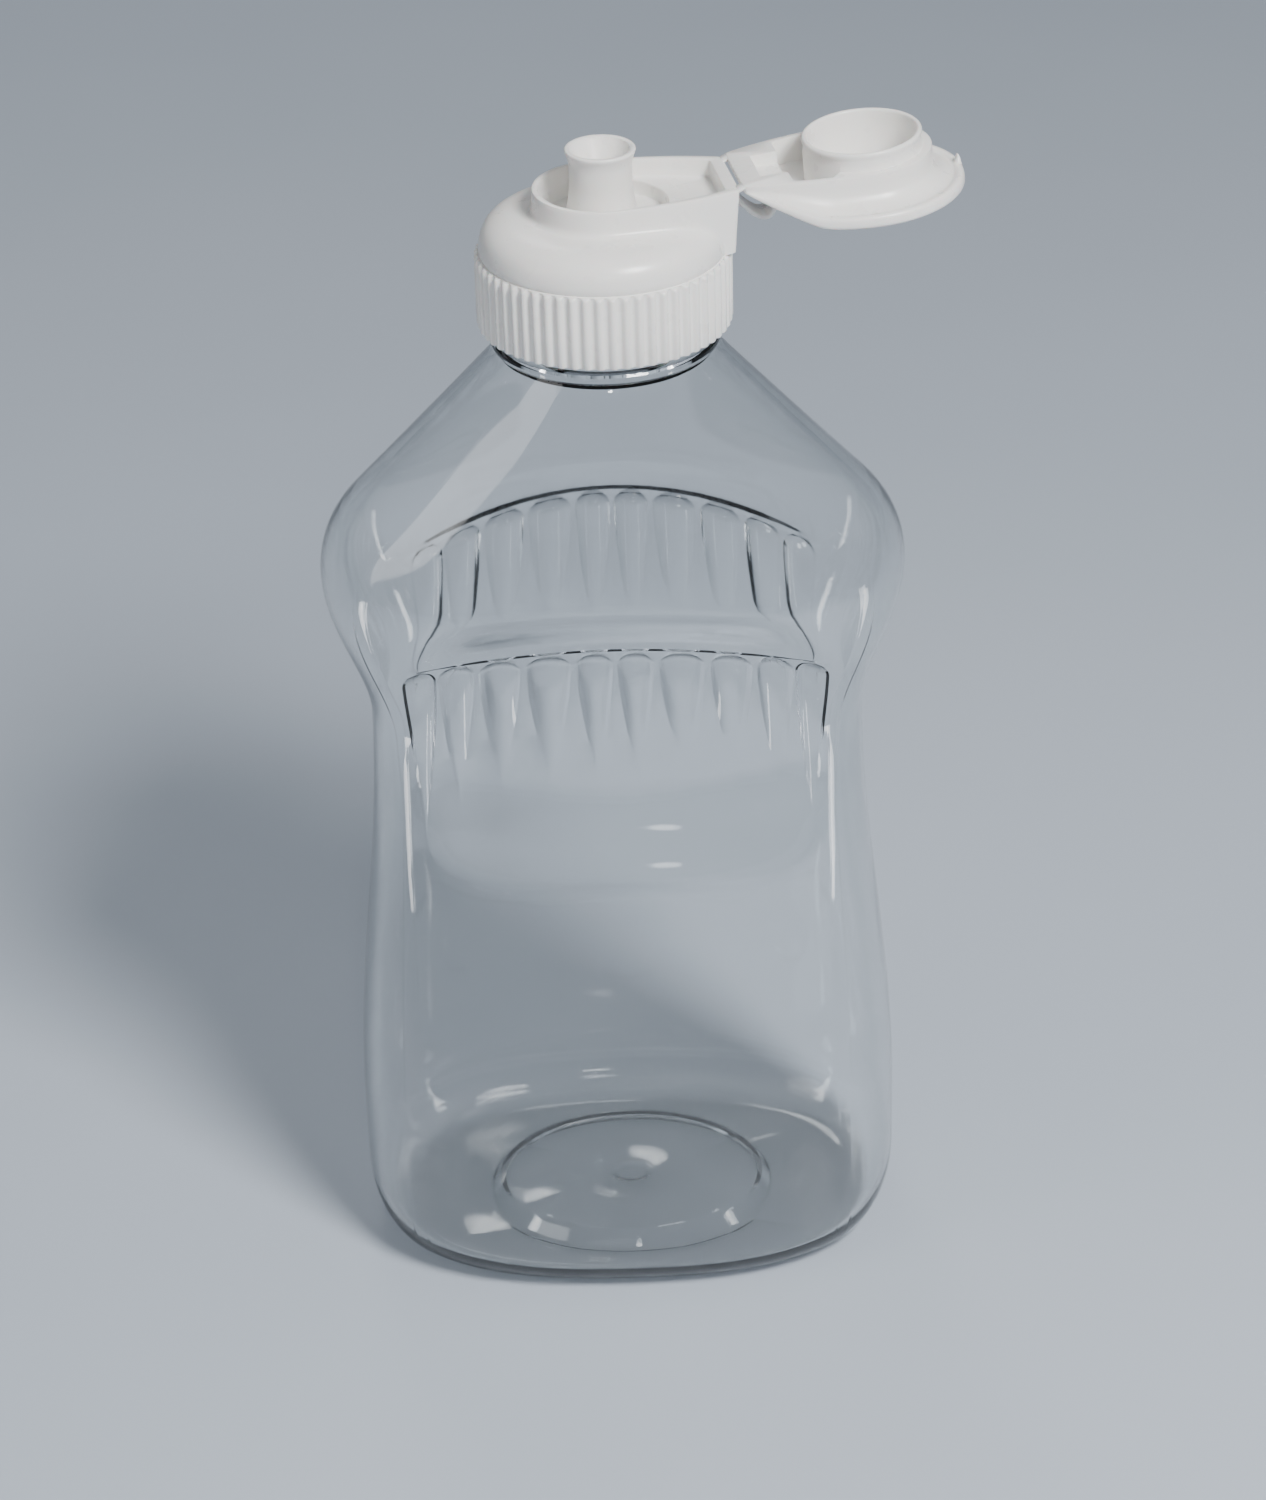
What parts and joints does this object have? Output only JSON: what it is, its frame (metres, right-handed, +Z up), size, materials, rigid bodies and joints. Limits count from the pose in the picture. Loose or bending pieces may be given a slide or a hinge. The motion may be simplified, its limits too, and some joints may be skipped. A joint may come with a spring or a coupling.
{
  "type": "flip-top bottle",
  "caption": "Clear oval squeeze bottle with a fluted grip and a white screw closure, its hinged lid standing open beside a short pouring spout",
  "frame": {"origin": "middle of the foot ring, on the surface that the bottle stands on, below the neck's axis", "axes": "+Z up along the neck's axis, +X along the wide side towards the open lid, -Y out of the fluted front"},
  "size_m": [0.1073, 0.0672, 0.203],
  "materials": {
    "clear_plastic": "clear gloss",
    "white_plastic": "satin"
  },
  "bodies": {
    "bottle": {"bottle": "clear_plastic"},
    "cap": {"cap": "white_plastic", "hinge_films": "white_plastic", "hinge_strap": "white_plastic"},
    "lid": {"lid": "white_plastic"}
  },
  "joints": [
    {"name": "closure_turn", "type": "hinge", "parent": "bottle", "child": "cap", "pos_m": [0, 0, 0.178], "axis": [0, 0, 1], "range_deg": [0, 360]},
    {"name": "lid_hinge", "type": "hinge", "parent": "cap", "child": "lid", "pos_m": [0.02104, 0.0036, 0.19685], "axis": [0.1685, -0.9857, 0], "range_deg": [0, 175.5], "deforming": ["hinge_films", "hinge_strap"]}
  ]
}
